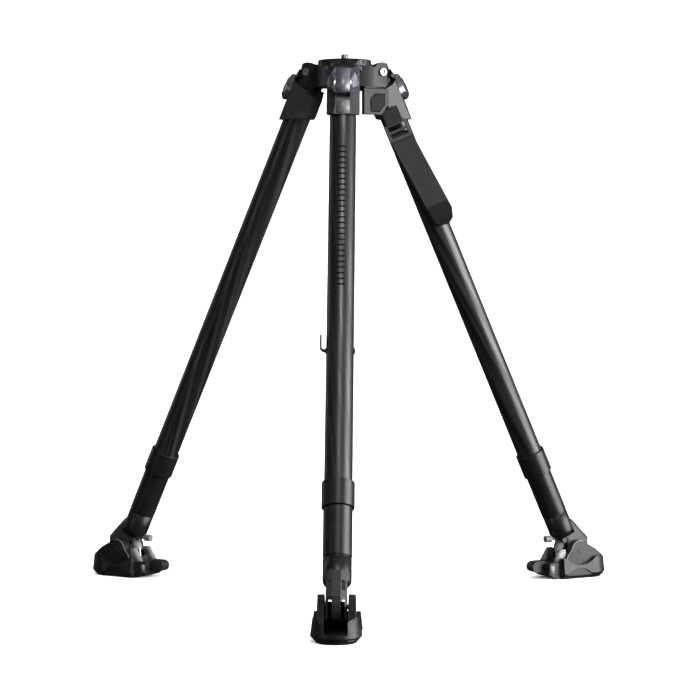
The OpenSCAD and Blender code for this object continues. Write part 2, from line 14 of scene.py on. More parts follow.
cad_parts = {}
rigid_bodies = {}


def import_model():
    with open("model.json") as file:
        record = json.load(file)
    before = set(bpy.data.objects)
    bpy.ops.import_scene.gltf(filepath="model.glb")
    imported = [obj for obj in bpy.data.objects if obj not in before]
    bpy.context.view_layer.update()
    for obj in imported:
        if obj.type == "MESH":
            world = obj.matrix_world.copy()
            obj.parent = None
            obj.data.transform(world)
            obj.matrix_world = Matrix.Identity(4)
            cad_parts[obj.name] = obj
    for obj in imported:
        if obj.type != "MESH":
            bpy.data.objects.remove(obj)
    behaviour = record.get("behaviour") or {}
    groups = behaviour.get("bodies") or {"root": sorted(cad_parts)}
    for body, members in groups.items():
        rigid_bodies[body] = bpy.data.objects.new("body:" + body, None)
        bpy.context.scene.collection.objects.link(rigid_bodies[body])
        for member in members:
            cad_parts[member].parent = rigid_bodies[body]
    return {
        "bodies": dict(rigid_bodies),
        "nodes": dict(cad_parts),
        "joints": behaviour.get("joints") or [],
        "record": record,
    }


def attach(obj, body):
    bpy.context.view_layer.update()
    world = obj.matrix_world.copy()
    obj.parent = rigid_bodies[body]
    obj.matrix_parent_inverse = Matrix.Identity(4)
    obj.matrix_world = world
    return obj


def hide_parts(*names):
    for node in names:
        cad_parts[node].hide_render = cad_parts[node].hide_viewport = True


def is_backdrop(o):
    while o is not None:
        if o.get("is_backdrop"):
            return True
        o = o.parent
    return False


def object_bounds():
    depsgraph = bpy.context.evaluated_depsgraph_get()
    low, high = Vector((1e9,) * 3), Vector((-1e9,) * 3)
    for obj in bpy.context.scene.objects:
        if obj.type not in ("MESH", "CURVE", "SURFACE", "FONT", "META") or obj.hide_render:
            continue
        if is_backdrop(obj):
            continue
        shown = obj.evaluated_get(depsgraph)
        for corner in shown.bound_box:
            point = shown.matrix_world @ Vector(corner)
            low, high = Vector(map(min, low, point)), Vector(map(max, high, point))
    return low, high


log = logging.getLogger("support")

Point = Tuple[float, float, float]
Outline = Sequence[Tuple[float, float]]
MM = 0.001
TUBE_RADIUS = 18 * MM
# The range that holds most of a noise pattern's values.
NOISE_SPAN = (0.3, 0.7)


class Side(Enum):
    """The three legs, each with the azimuth it points to in degrees."""

    FRONT = -90.0
    RIGHT = 30.0
    LEFT = 150.0

    @property
    def word(self) -> str:
        """The leg's name as the frame's nodes and bodies spell it."""
        return self.name.lower()


class Grain(Enum):
    """Kinds of surface relief a finish can carry."""

    CAST = "cast"
    TURNED = "turned"
    MOULDED = "moulded"
    SMOOTH = "smooth"


class Tree:
    """Small helper that wires the nodes of one material."""

    def __init__(self, name: str) -> None:
        """Starts an empty material with a shader and an output.

        Args:
            name: name of the material.
        """
        self.material = bpy.data.materials.new(name)
        self.material.use_nodes = True
        self.nodes = self.material.node_tree.nodes
        self.links = self.material.node_tree.links
        self.nodes.clear()
        self.shader = self.nodes.new("ShaderNodeBsdfPrincipled")
        output = self.nodes.new("ShaderNodeOutputMaterial")
        self.links.new(self.shader.outputs[0], output.inputs[0])
        self.coords = self.nodes.new("ShaderNodeTexCoord").outputs["Object"]

    def add(self, kind: str, **settings: Any) -> bpy.types.Node:
        """Adds a node.

        Args:
            kind: the node's type name.
            settings: properties and, by socket name, values of its inputs.

        Returns:
            The new node.
        """
        node = self.nodes.new(kind)
        for key, value in settings.items():
            if hasattr(node, key):
                setattr(node, key, value)
            else:
                node.inputs[key.replace("_", " ")].default_value = value
        return node

    def link(self, source: Any, target: Any) -> None:
        """Joins an output socket to an input socket."""
        self.links.new(source, target)

    def noise(self, scale: float, detail: float = 3.0, coords: Any = None) -> Any:
        """Adds a noise pattern.

        Args:
            scale: pattern size, in repeats per metre.
            detail: octaves.
            coords: socket to read, or the piece's own coordinates.

        Returns:
            The pattern's value socket.
        """
        node = self.add("ShaderNodeTexNoise", Scale=scale, Detail=detail)
        self.link(coords or self.coords, node.inputs["Vector"])
        return node.outputs[0]

    def ramp(self, value: Any, stops: Sequence[Tuple[float, Sequence[float]]]) -> Any:
        """Maps a value to colours.

        Args:
            value: socket to read.
            stops: (position, colour) pairs.

        Returns:
            The colour socket.
        """
        node = self.add("ShaderNodeValToRGB")
        band = node.color_ramp
        while len(band.elements) < len(stops):
            band.elements.new(0.5)
        for element, (place, colour) in zip(band.elements, stops):
            element.position = place
            element.color = (*colour, 1.0) if len(colour) == 3 else colour
        self.link(value, node.inputs[0])
        return node.outputs[0]

    def spread(self, value: Any, low: float, high: float, out_low: float, out_high: float) -> Any:
        """Maps a range of a value to another range and returns its socket."""
        node = self.add("ShaderNodeMapRange")
        limits = {"From Min": low, "From Max": high, "To Min": out_low, "To Max": out_high}
        for name, number in limits.items():
            node.inputs[name].default_value = number
        self.link(value, node.inputs["Value"])
        return node.outputs[0]

    def maths(self, operation: str, a: Any, b: Any = 0.5) -> Any:
        """Combines two sockets or numbers.

        Args:
            operation: the node's operation.
            a: first socket or number.
            b: second socket or number.

        Returns:
            The result's socket.
        """
        node = self.add("ShaderNodeMath", operation=operation)
        for slot, part in enumerate((a, b)):
            if isinstance(part, (int, float)):
                node.inputs[slot].default_value = part
            else:
                self.link(part, node.inputs[slot])
        return node.outputs[0]

    def mix(self, factor: Any, a: Any, b: Any) -> Any:
        """Blends two colours.

        Args:
            factor: socket or number.
            a: colour or socket at 0.
            b: colour or socket at 1.

        Returns:
            The colour socket.
        """
        node = self.add("ShaderNodeMix", data_type="RGBA")
        for slot, part in ((0, factor), (6, a), (7, b)):
            if isinstance(part, (int, float)):
                node.inputs[slot].default_value = part
            elif isinstance(part, (tuple, list)):
                node.inputs[slot].default_value = (*part, 1.0)[:4]
            else:
                self.link(part, node.inputs[slot])
        return node.outputs[2]

    def relief(self, height: Any, distance: float, strength: float = 1.0) -> None:
        """Gives the shader a bump.

        Args:
            height: height socket, 0 to 1.
            distance: height of the relief in metres.
            strength: share of it that shows.
        """
        node = self.add("ShaderNodeBump", Distance=distance, Strength=strength)
        self.link(height, node.inputs["Height"])
        self.link(node.outputs[0], self.shader.inputs["Normal"])

    def worn(self, colour: Any, edge: Sequence[float], share: float) -> Any:
        """Lightens convex edges: edge wear from handling, and a painted highlight along the edges.

        Args:
            colour: colour socket or tuple of the face.
            edge: colour of the rubbed edge, which also paints its highlight.
            share: how strongly it shows.

        Returns:
            The colour socket.
        """
        # Convex edges are painted lighter: partly edge wear, partly a painted highlight.
        flat, ridge = 0.52, 0.60
        pointed = self.add("ShaderNodeNewGeometry").outputs["Pointiness"]
        rub_and_highlight = self.spread(pointed, flat, ridge, 0.0, share)
        patches = self.spread(self.noise(260.0), 0.35, 0.7, 0.3, 1.0)
        return self.mix(self.maths("MULTIPLY", rub_and_highlight, patches), colour, edge)


@dataclass(frozen=True)
class Relief:
    """Fine relief of a surface: repeats per metre, octaves, and height in metres."""

    scale: float
    detail: float
    depth: float


RELIEF = {
    Grain.CAST: Relief(1500.0, 2.0, 0.00012),
    Grain.TURNED: Relief(900.0, 1.0, 0.00003),
    Grain.MOULDED: Relief(2400.0, 2.0, 0.00007),
    Grain.SMOOTH: Relief(300.0, 1.0, 0.00001),
}


@dataclass(frozen=True)
class Finish:
    """A plain-coloured maker's finish with relief and slight variation."""

    name: str
    colour: Tuple[float, float, float]
    metallic: float = 0.0
    roughness: float = 0.4
    grain: Grain = Grain.CAST
    edge: float = 0.35
    coat: float = 0.0
    specular: float = 0.5

    def make(self) -> bpy.types.Material:
        """Builds the material.

        Returns:
            The material, ready to assign.
        """
        tree = Tree(self.name)
        dark = tuple(c * 0.8 for c in self.colour)
        light = tuple(min(1.0, c * 1.22 + 0.004) for c in self.colour)
        broad = tree.noise(38.0, 4.0)
        colour = tree.mix(tree.spread(broad, *NOISE_SPAN, 0.0, 1.0), dark, light)
        # Painted highlight with edge wear: convex edges get a lighter colour.
        if self.edge:
            rubbed_highlit_edge = tuple(min(1.0, c * 2.2 + 0.07) for c in self.colour)
            colour = tree.worn(colour, rubbed_highlit_edge, self.edge)
        tree.link(colour, tree.shader.inputs["Base Color"])
        tree.shader.inputs["Metallic"].default_value = self.metallic
        tree.shader.inputs["Specular IOR Level"].default_value = self.specular
        tree.shader.inputs["Coat Weight"].default_value = self.coat
        tree.shader.inputs["Coat Roughness"].default_value = 0.25
        relief = RELIEF[self.grain]
        fine = tree.noise(relief.scale, relief.detail)
        speckle = tree.spread(fine, *NOISE_SPAN, -0.04, 0.05)
        patches = tree.spread(broad, *NOISE_SPAN, self.roughness - 0.03, self.roughness + 0.04)
        tree.link(tree.maths("ADD", speckle, patches), tree.shader.inputs["Roughness"])
        tree.relief(fine, relief.depth, 0.6)
        return tree.material


@dataclass(frozen=True)
class Wound:
    """Carbon tape wound round a tube under satin lacquer, read from the tube's wrap map; the tape's streaks
    are painted lighter and darker as its reflections.
    """

    name: str
    colour: Tuple[float, float, float] = (0.016, 0.016, 0.017)
    tape: float = 0.0075
    fibre: float = 0.0006
    turn: float = 7.0
    roughness: float = 0.34
    specular: float = 0.6

    def make(self) -> bpy.types.Material:
        """Builds the material.

        Returns:
            The material, ready to assign.
        """
        tree = Tree(self.name)
        wrap = tree.add("ShaderNodeUVMap", uv_map="wrap").outputs[0]

        def tape(turn: float, across: float, along: float, detail: float) -> Any:
            """Adds one layer of tape.

            Args:
                turn: slope of the tape in degrees.
                across: width of a tape in metres.
                along: length over which a tape changes, in metres.
                detail: octaves of its pattern.

            Returns:
                The layer's value socket.
            """
            slope = tree.add("ShaderNodeMapping")
            slope.inputs["Rotation"].default_value = (0, 0, math.radians(turn))
            squeeze = tree.add("ShaderNodeMapping")
            squeeze.inputs["Scale"].default_value = (1 / across, 1 / along, 1)
            tree.link(wrap, slope.inputs["Vector"])
            tree.link(slope.outputs[0], squeeze.inputs["Vector"])
            return tree.noise(1.0, detail, squeeze.outputs[0])

        broad = tape(self.turn, self.tape, 0.6, 2.0)
        thin = tape(self.turn, self.tape * 0.16, 0.25, 2.0)
        fibre = tape(self.turn - 90.0, self.fibre, 0.03, 1.0)

        def blend(a: Any, b: Any, share: float, rest: float) -> Any:
            """Adds two layers in those shares and returns the socket."""
            return tree.maths("ADD", tree.maths("MULTIPLY", a, share), tree.maths("MULTIPLY", b, rest))

        sheen = blend(broad, thin, 0.65, 0.35)
        dark = tuple(c * 0.3 for c in self.colour)
        light = tuple(c * 3.2 + 0.006 for c in self.colour)
        # Painted reflection: the real tape pattern gets lighter and darker colour that stands in for its
        # reflections.
        colour = tree.ramp(sheen, ((0.42, dark), (0.5, self.colour), (0.6, light)))
        tree.link(colour, tree.shader.inputs["Base Color"])
        gloss = tree.spread(sheen, 0.38, 0.62, self.roughness + 0.14, self.roughness - 0.08)
        speckle = tree.spread(fibre, *NOISE_SPAN, -0.03, 0.03)
        tree.link(tree.maths("ADD", gloss, speckle), tree.shader.inputs["Roughness"])
        tree.shader.inputs["Specular IOR Level"].default_value = self.specular
        tree.relief(blend(thin, fibre, 0.7, 0.3), 0.00008, 0.5)
        return tree.material


@dataclass(frozen=True)
class Woven:
    """Strap webbing: ribs along the strap crossed by fine picks."""

    name: str
    colour: Tuple[float, float, float]
    pitch: float = 0.0011
    roughness: float = 0.75

    def make(self) -> bpy.types.Material:
        """Builds the material.

        Returns:
            The material, ready to assign.
        """
        tree = Tree(self.name)
        lay = tree.add("ShaderNodeUVMap", uv_map="lay").outputs[0]
        part = tree.add("ShaderNodeSeparateXYZ")
        tree.link(lay, part.inputs[0])

        def ribs(value: Any, pitch: float) -> Any:
            """Makes a smooth rib profile of that pitch and returns its socket."""
            wave = tree.maths("SINE", tree.maths("MULTIPLY", value, 2 * math.pi / pitch))
            return tree.spread(wave, -1, 1, 0, 1)

        along = ribs(part.outputs[0], self.pitch)
        across = ribs(part.outputs[1], self.pitch * 0.8)
        weave = tree.maths("MULTIPLY", tree.maths("ADD", along, tree.maths("MULTIPLY", across, 0.6)), 0.62)
        worn = tree.noise(60.0, 5.0)
        low = tuple(c * 0.55 for c in self.colour)
        high = tuple(min(1.0, c * 1.5 + 0.006) for c in self.colour)
        shade = tree.maths("ADD", tree.maths("MULTIPLY", weave, 0.55), tree.maths("MULTIPLY", worn, 0.45))
        colour = tree.ramp(shade, ((0.2, low), (0.5, self.colour), (0.85, high)))
        rough = tree.spread(worn, *NOISE_SPAN, self.roughness - 0.06, self.roughness + 0.08)
        tree.link(colour, tree.shader.inputs["Base Color"])
        tree.link(rough, tree.shader.inputs["Roughness"])
        tree.shader.inputs["Sheen Weight"].default_value = 0.25
        tree.shader.inputs["Sheen Roughness"].default_value = 0.5
        tree.relief(weave, 0.00025, 0.7)
        return tree.material


@dataclass(frozen=True)
class Stance:
    """Where a leg stands: the numbers that place a leg's own frame."""

    pivot_out: float = 48.4 * MM
    pivot_drop: float = 15.8 * MM
    lean: float = 25.5
    length: float = 804 * MM

    def leg(self, side: Side) -> Matrix:
        """Frame of a leg: +X outwards and square to the leg, -Z down the leg.

        Args:
            side: which leg.

        Returns:
            The matrix from the leg's frame to the row's frame.
        """
        return (Matrix.Rotation(math.radians(side.value), 4, "Z")
                @ Matrix.Translation((self.pivot_out, 0, -self.pivot_drop))
                @ Matrix.Rotation(-math.radians(self.lean), 4, "Y"))

    def floor(self, side: Side) -> Matrix:
        """Upright frame over the floor point of a leg's axis.

        Args:
            side: which leg.

        Returns:
            The matrix from that frame to the row's frame.
        """
        lean = math.radians(self.lean)
        return (Matrix.Rotation(math.radians(side.value), 4, "Z")
                @ Matrix.Translation((self.pivot_out + self.length * math.sin(lean), 0,
                                      -self.pivot_drop - self.length * math.cos(lean))))


STANCE = Stance()
SIDEWAYS = Matrix(((1, 0, 0, 0), (0, 0, 1, 0), (0, 1, 0, 0), (0, 0, 0, 1)))


class Bench:
    """Makes finished pieces: copies of CAD nodes with eased edges, and new meshes.

    WELD is the distance in metres that joins two corners, FLAT the angle below which faces are
    merged, and SOFT the angle above which a shaded edge stays sharp on an eased copy.
    """

    WELD = 2e-6
    FLAT = math.radians(0.4)
    SOFT = 60.0

    def __init__(self, frame: Dict[str, Any]) -> None:
        """Keeps the frame and an empty set of materials.
        """
        self.frame = frame
        record = frame["record"]
        bodies = record["behaviour"]["bodies"]
        self.bodies = {node: body for body, nodes in bodies.items() for node in nodes}
        self.slots = {row["node"]: row["material_slot"] for row in record["subparts"]}
        self.materials: Dict[str, bpy.types.Material] = {}

    def material(self, finish: Any) -> bpy.types.Material:
        """Makes a finish's material once and returns it."""
        if finish.name not in self.materials:
            self.materials[finish.name] = finish.make()
        return self.materials[finish.name]

    def new(self, name: str, mesh: bpy.types.Mesh, finish: Any, body: str, slot: str) -> bpy.types.Object:
        """Puts a mesh into the scene as a piece that rides on a body.

        Args:
            name: piece name.
            mesh: its mesh, in the row's frame.
            finish: finish to dress it in.
            body: CAD body it moves with.
            slot: material slot of the record; not used.

        Returns:
            The new object.
        """
        mesh.name = name
        piece = bpy.data.objects.new(name, mesh)
        bpy.context.collection.objects.link(piece)
        mesh.materials.clear()
        mesh.materials.append(self.material(finish))
        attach(piece, body)
        log.info("%s: %d faces on %s", name, len(mesh.polygons), body)
        return piece

    def baked(self, holder: bpy.types.Object) -> bpy.types.Mesh:
        """Turns an object with modifiers into a plain mesh and removes the object.

        Args:
            holder: the object to evaluate.

        Returns:
            The finished mesh.
        """
        bpy.context.view_layer.update()
        graph = bpy.context.evaluated_depsgraph_get()
        mesh = bpy.data.meshes.new_from_object(holder.evaluated_get(graph), depsgraph=graph)
        bpy.data.objects.remove(holder, do_unlink=True)
        return mesh

    def copy(self, node: str, ease: float, sharp: float = 32.0) -> bpy.types.Mesh:
        """Copies a CAD node as one joined skin with eased edges.

        Args:
            node: CAD node.
            ease: width of the eased edge in metres, or 0 for none.
            sharp: angle in degrees above which an edge counts as an edge.

        Returns:
            The new mesh, smooth shaded between its edges.
        """
        skin = bmesh.new()
        skin.from_mesh(self.frame["nodes"][node].data)
        bmesh.ops.remove_doubles(skin, verts=skin.verts, dist=self.WELD)
        bmesh.ops.dissolve_limit(skin, angle_limit=self.FLAT, verts=skin.verts, edges=skin.edges)
        bmesh.ops.recalc_face_normals(skin, faces=skin.faces)
        mesh = bpy.data.meshes.new(node)
        skin.to_mesh(mesh)
        skin.free()
        mesh.materials.clear()
        for face in mesh.polygons:
            face.use_smooth = True
            face.material_index = 0
        holder = bpy.data.objects.new("holder", mesh)
        bpy.context.collection.objects.link(holder)
        if ease:
            edge = holder.modifiers.new("ease", "BEVEL")
            edge.width, edge.segments = ease, 2
            edge.limit_method, edge.angle_limit = "ANGLE", math.radians(sharp)
            edge.use_clamp_overlap = True
        mesh.set_sharp_from_angle(angle=math.radians(self.SOFT if ease else sharp))
        if ease:
            weighted = holder.modifiers.new("weighted", "WEIGHTED_NORMAL")
            weighted.keep_sharp = True
        return self.baked(holder)

    def finish_node(self, node: str, finish: Any, ease: float = 0.0, sharp: float = 32.0,
                    shape: Optional[Callable[[bpy.types.Mesh], None]] = None) -> bpy.types.Object:
        """Replaces a CAD node with its eased copy.

        Args:
            node: CAD node.
            finish: finish to dress it in.
            ease: width of the eased edges in metres.
            sharp: angle in degrees above which an edge counts as an edge.
            shape: called with the mesh before it is placed, to add a map.

        Returns:
            The piece that stands for the node.
        """
        mesh = self.copy(node, ease, sharp)
        if shape:
            shape(mesh)
        piece = self.new(f"{node}_skin", mesh, finish, self.bodies[node], self.slots[node])
        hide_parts(node)
        return piece

    def solid(self, corners: Sequence[Point], faces: Sequence[Sequence[int]],
              place: Matrix) -> bpy.types.Mesh:
        """Makes a mesh from corners and faces.

        Args:
            corners: points in the piece's own frame, in metres.
            faces: corner numbers of each face.
            place: matrix to the row's frame.

        Returns:
            The mesh, its faces outwards.
        """
        mesh = bpy.data.meshes.new("solid")
        mesh.from_pydata([tuple(place @ Vector(c)) for c in corners], [], [tuple(f) for f in faces])
        skin = bmesh.new()
        skin.from_mesh(mesh)
        bmesh.ops.recalc_face_normals(skin, faces=skin.faces)
        skin.to_mesh(mesh)
        skin.free()
        return mesh

    def band(self, line: Outline, thick: float, half: float, place: Matrix) -> bpy.types.Mesh:
        """Makes a thin plate that follows a line seen from the side.

        Args:
            line: (outwards, up) points in millimetres, from top to bottom.
            thick: thickness outwards in millimetres.
            half: half its width sideways in millimetres.
            place: matrix to the row's frame.

        Returns:
            The mesh, with eased edges.
        """
        sunk, ease = 0.25, 0.18 * MM
        back = [((x - sunk) * MM, z * MM) for x, z in line]
        front = [((x + thick) * MM, z * MM) for x, z in reversed(line)]
        return self.prism(back + front, -half * MM, half * MM, place @ SIDEWAYS, ease)

    def prism(self, outline: Outline, low: float, high: float, place: Matrix,
              ease: float = 0.0, shrink: float = 1.0) -> bpy.types.Mesh:
        """Extrudes an outline drawn in X and Y along Z.

        Args:
            outline: points of the outline in metres.
            low: Z of its first face.
            high: Z of its last face.
            place: matrix to the row's frame.
            ease: width of its eased edges.
            shrink: size of the last face against the first.

        Returns:
            The mesh.
        """
        count = len(outline)
        centre = [sum(p[i] for p in outline) / count for i in (0, 1)]
        top = [(centre[0] + (x - centre[0]) * shrink, centre[1] + (y - centre[1]) * shrink)
               for x, y in outline]
        corners = [(x, y, low) for x, y in outline] + [(x, y, high) for x, y in top]
        faces = [list(range(count)), list(range(count, 2 * count))]
        faces += [[i, (i + 1) % count, count + (i + 1) % count, count + i] for i in range(count)]
        mesh = self.solid(corners, faces, place)
        if ease:
            skin = bmesh.new()
            skin.from_mesh(mesh)
            bmesh.ops.bevel(skin, geom=skin.edges[:], offset=ease, segments=2, affect="EDGES",
                            clamp_overlap=True)
            for face in skin.faces:
                face.smooth = True
            skin.to_mesh(mesh)
            skin.free()
        return mesh

    def turned(self, profile: Outline, place: Matrix, steps: int = 48) -> bpy.types.Mesh:
        """Turns a closed profile about Z into a ring.

        Args:
            profile: (radius, height) points in millimetres, going round the section.
            place: matrix to the row's frame.
            steps: facets round.

        Returns:
            The mesh, smooth shaded.
        """
        count = len(profile)
        angles = [2 * math.pi * i / steps for i in range(steps)]
        corners = [(r * MM * math.cos(a), r * MM * math.sin(a), z * MM) for a in angles for r, z in profile]
        faces = [[count * i + k, count * j + k, count * j + m, count * i + m]
                 for i, j in zip(range(steps), [*range(1, steps), 0])
                 for k, m in zip(range(count), [*range(1, count), 0])]
        mesh = self.solid(corners, faces, place)
        for face in mesh.polygons:
            face.use_smooth = True
        mesh.set_sharp_from_angle(angle=math.radians(30))
        return mesh


class Row:
    """Geometry Nodes that set a shape out along a path at even spacing."""

    def __init__(self, follow: bool = False) -> None:
        """Builds the node tree once for a kind of row.

        Args:
            follow: whether each shape turns with the path.
        """
        tree = bpy.data.node_groups.new("row_follow" if follow else "row", "GeometryNodeTree")
        self.tree = tree
        for name, kind in (("Path", "NodeSocketGeometry"), ("Shape", "NodeSocketObject"),
                           ("Spacing", "NodeSocketFloat"), ("Finish", "NodeSocketMaterial")):
            tree.interface.new_socket(name, in_out="INPUT", socket_type=kind)
        tree.interface.new_socket("Geometry", in_out="OUTPUT", socket_type="NodeSocketGeometry")
        add, link = tree.nodes.new, tree.links.new
        start, end = add("NodeGroupInput"), add("NodeGroupOutput")
        curve, points = add("GeometryNodeMeshToCurve"), add("GeometryNodeResampleCurve")
        info, place = add("GeometryNodeObjectInfo"), add("GeometryNodeInstanceOnPoints")
        real, dress = add("GeometryNodeRealizeInstances"), add("GeometryNodeSetMaterial")
        points.mode = "LENGTH"
        link(start.outputs["Path"], curve.inputs[0])
        link(curve.outputs[0], points.inputs["Curve"])
        link(start.outputs["Spacing"], points.inputs["Length"])
        link(points.outputs[0], place.inputs["Points"])
        link(start.outputs["Shape"], info.inputs["Object"])
        link(info.outputs["Geometry"], place.inputs["Instance"])
        if follow:
            tangent, turn = add("GeometryNodeInputTangent"), add("FunctionNodeAlignRotationToVector")
            turn.axis = "X"
            link(tangent.outputs[0], turn.inputs["Vector"])
            link(turn.outputs[0], place.inputs["Rotation"])
        link(place.outputs[0], real.inputs[0])
        link(real.outputs[0], dress.inputs["Geometry"])
        link(start.outputs["Finish"], dress.inputs["Material"])
        link(dress.outputs[0], end.inputs[0])

    def lay(self, bench: Bench, name: str, path: Sequence[Sequence[Point]], shape: bpy.types.Mesh,
            spacing: float, finish: Any, body: str, slot: str) -> bpy.types.Object:
        """Sets a shape out along one or more paths.

        Args:
            bench: where pieces are made.
            name: piece name.
            path: lines of points in the row's frame.
            shape: the shape, about its own origin.
            spacing: distance between shapes in metres.
            finish: finish to dress it in.
            body: CAD body it moves with.
            slot: material slot of the record.

        Returns:
            The finished row as one piece.
        """
        points: List[Point] = []
        edges: List[Tuple[int, int]] = []
        for line in path:
            first = len(points)
            points += [tuple(p) for p in line]
            edges += [(i, i + 1) for i in range(first, len(points) - 1)]
        mesh = bpy.data.meshes.new("path")
        mesh.from_pydata(points, edges, [])
        holder = bpy.data.objects.new("path", mesh)
        model = bpy.data.objects.new("shape", shape)
        for thing in (holder, model):
            bpy.context.collection.objects.link(thing)
        row = holder.modifiers.new("row", "NODES")
        row.node_group = self.tree
        values = {"Shape": model, "Spacing": spacing, "Finish": bench.material(finish)}
        for item in self.tree.interface.items_tree:
            if item.item_type == "SOCKET" and item.in_out == "INPUT" and item.name in values:
                row[item.identifier] = values[item.name]
        made = bench.baked(holder)
        bpy.data.objects.remove(model, do_unlink=True)
        return bench.new(name, made, finish, body, slot)


CROWN = Finish("crown_black", (0.012, 0.012, 0.013), roughness=0.4, edge=0.5, specular=0.35)
PLATE = Finish("plate_black", (0.022, 0.022, 0.023), metallic=0.3, roughness=0.38, grain=Grain.TURNED)
BRIGHT = Finish("bright_steel", (0.30, 0.31, 0.33), metallic=1.0, roughness=0.33,
                grain=Grain.TURNED, edge=0.0)
SPIKE = Finish("spike_steel", (0.72, 0.73, 0.75), metallic=1.0, roughness=0.2,
               grain=Grain.TURNED, edge=0.0)
KNOB = Finish("knob_black", (0.012, 0.012, 0.0125), roughness=0.5, grain=Grain.MOULDED, edge=0.2)
LATCH = Finish("latch_grey", (0.30, 0.30, 0.305), roughness=0.42, grain=Grain.MOULDED, edge=0.2)
BLOCK = Finish("block_grey", (0.035, 0.035, 0.037), roughness=0.46, edge=0.7, specular=0.32)
BUTTON = Finish("button_black", (0.006, 0.006, 0.0065), roughness=0.5,
                grain=Grain.SMOOTH, edge=0.4, specular=0.12)
CLIP = Finish("clip_black", (0.020, 0.020, 0.021), roughness=0.45, grain=Grain.MOULDED, edge=0.2)
BUCKLE = Finish("buckle_grey", (0.075, 0.075, 0.077), roughness=0.42, grain=Grain.MOULDED, edge=0.5)
SHOULDER = Finish("shoulder_grey", (0.026, 0.026, 0.028), roughness=0.36, edge=0.5)
PADDLE_EAR = Finish("paddle_metal", (0.34, 0.33, 0.40), metallic=0.9, roughness=0.3,
                    grain=Grain.SMOOTH, edge=0.0)
PADDLE = Finish("paddle_grey", (0.17, 0.168, 0.205), metallic=0.3, roughness=0.36, edge=0.5, coat=0.2)
COLLAR = Finish("collar_black", (0.011, 0.011, 0.0115), roughness=0.36, grain=Grain.MOULDED, edge=0.2)
GUIDE = Finish("guide_white", (0.66, 0.66, 0.63), roughness=0.5, grain=Grain.MOULDED, edge=0.0)
CAP = Finish("cap_black", (0.011, 0.011, 0.0115), roughness=0.38, grain=Grain.MOULDED, edge=0.2)
LINK = Finish("link_grey", (0.034, 0.034, 0.036), roughness=0.4, edge=0.6)
SHOE = Finish("shoe_black", (0.013, 0.013, 0.0135), roughness=0.4, grain=Grain.MOULDED, edge=0.5)
TREAD = Finish("tread_rubber", (0.014, 0.014, 0.014), roughness=0.8, grain=Grain.MOULDED, edge=0.0)
PANEL = Finish("panel_grey", (0.17, 0.17, 0.175), roughness=0.4, edge=0.4)
ARM = Finish("arm_grey", (0.42, 0.42, 0.42), roughness=0.45, grain=Grain.MOULDED, edge=0.2)
SCALE = Finish("scale_dark", (0.005, 0.005, 0.005), roughness=0.7,
               grain=Grain.SMOOTH, edge=0.0, specular=0.08)
CARBON = Wound("carbon")
STRAP = Woven("strap_weave", (0.020, 0.020, 0.021))
BAND = Woven("band_weave", (0.012, 0.012, 0.013))
PATCH = Finish("patch_black", (0.005, 0.005, 0.0055), roughness=0.45, edge=0.3, specular=0.3)
THREAD = Finish("stitch_grey", (0.09, 0.09, 0.092), roughness=0.8, grain=Grain.MOULDED, edge=0.0)


def oblong(x: float, y: float) -> List[Tuple[float, float]]:
    """Outline of a rectangle about the origin, from its half sizes in millimetres."""
    return [(-x * MM, -y * MM), (x * MM, -y * MM), (x * MM, y * MM), (-x * MM, y * MM)]


def wrap_map(place: Matrix) -> Callable[[bpy.types.Mesh], None]:
    """Makes the function that lays a round-and-along map on a tube.

    Args:
        place: the leg's frame.

    Returns:
        A function that adds the map "wrap", in metres, to a mesh.
    """
    inverse = place.inverted()

    def lay(mesh: bpy.types.Mesh) -> None:
        """Adds the map to one mesh."""
        layer = mesh.uv_layers.new(name="wrap")
        local = [inverse @ v.co for v in mesh.vertices]
        for face in mesh.polygons:
            spots = [local[i] for i in face.vertices]
            middle = math.atan2(sum(p.y for p in spots), -sum(p.x for p in spots))
            for loop, spot in zip(face.loop_indices, spots):
                angle = math.atan2(spot.y, -spot.x)
                if angle - middle > math.pi:
                    angle -= 2 * math.pi
                elif middle - angle > math.pi:
                    angle += 2 * math.pi
                layer.data[loop].uv = (angle * TUBE_RADIUS, spot.z)

    return lay


def flat_map(place: Matrix) -> Callable[[bpy.types.Mesh], None]:
    """Makes the function that lays a flat map on a strap.

    Args:
        place: frame whose Y runs across the strap and Z along it.

    Returns:
        A function that adds the map "lay", in metres, to a mesh.
    """
    inverse = place.inverted()

    def lay(mesh: bpy.types.Mesh) -> None:
        """Adds the map to one mesh."""
        layer = mesh.uv_layers.new(name="lay")
        for face in mesh.polygons:
            for loop, corner in zip(face.loop_indices, face.vertices):
                spot = inverse @ mesh.vertices[corner].co
                layer.data[loop].uv = (spot.y, spot.z)

    return lay


@dataclass
class Head:
    """Crown, flat plate with its stud, clamp knob and the release block with its button."""

    bench: Bench
    stud_radius: float = 4.76 * MM
    stud_height: float = 8 * MM
    thread_pitch: float = 1.59 * MM
    ease: float = 0.7 * MM

    def build(self) -> None:
        """Dresses every node of the head and adds its small parts."""
        b = self.bench
        b.finish_node("crown", CROWN, self.ease)
        b.finish_node("head_plate", PLATE, 0.5 * MM, 25)
        b.finish_node("head_stud", BRIGHT, 0.0)
        b.finish_node("clamp_knob", KNOB, 0.5 * MM, 40)
        b.finish_node("pivot_bolts", BRIGHT, 0.25 * MM, 35)
        b.finish_node("release_block", BLOCK, 0.8 * MM)
        b.finish_node("release_button", BUTTON, 0.5 * MM)
        self.thread()

    def thread(self) -> None:
        """Sets the crests of the stud's thread out along its height."""
        radius = self.stud_radius / MM
        valley, tip, half = radius - 0.5, radius + 0.12, 0.55
        crest = self.bench.turned([(valley, -half), (tip, 0.0), (valley, half)], Matrix.Identity(4), 40)
        line = [(0, 0, 1.0 * MM), (0, 0, self.stud_height - 1.2 * MM)]
        Row().lay(self.bench, "stud_thread", [line], crest, self.thread_pitch, BRIGHT, "root", "bright_steel")


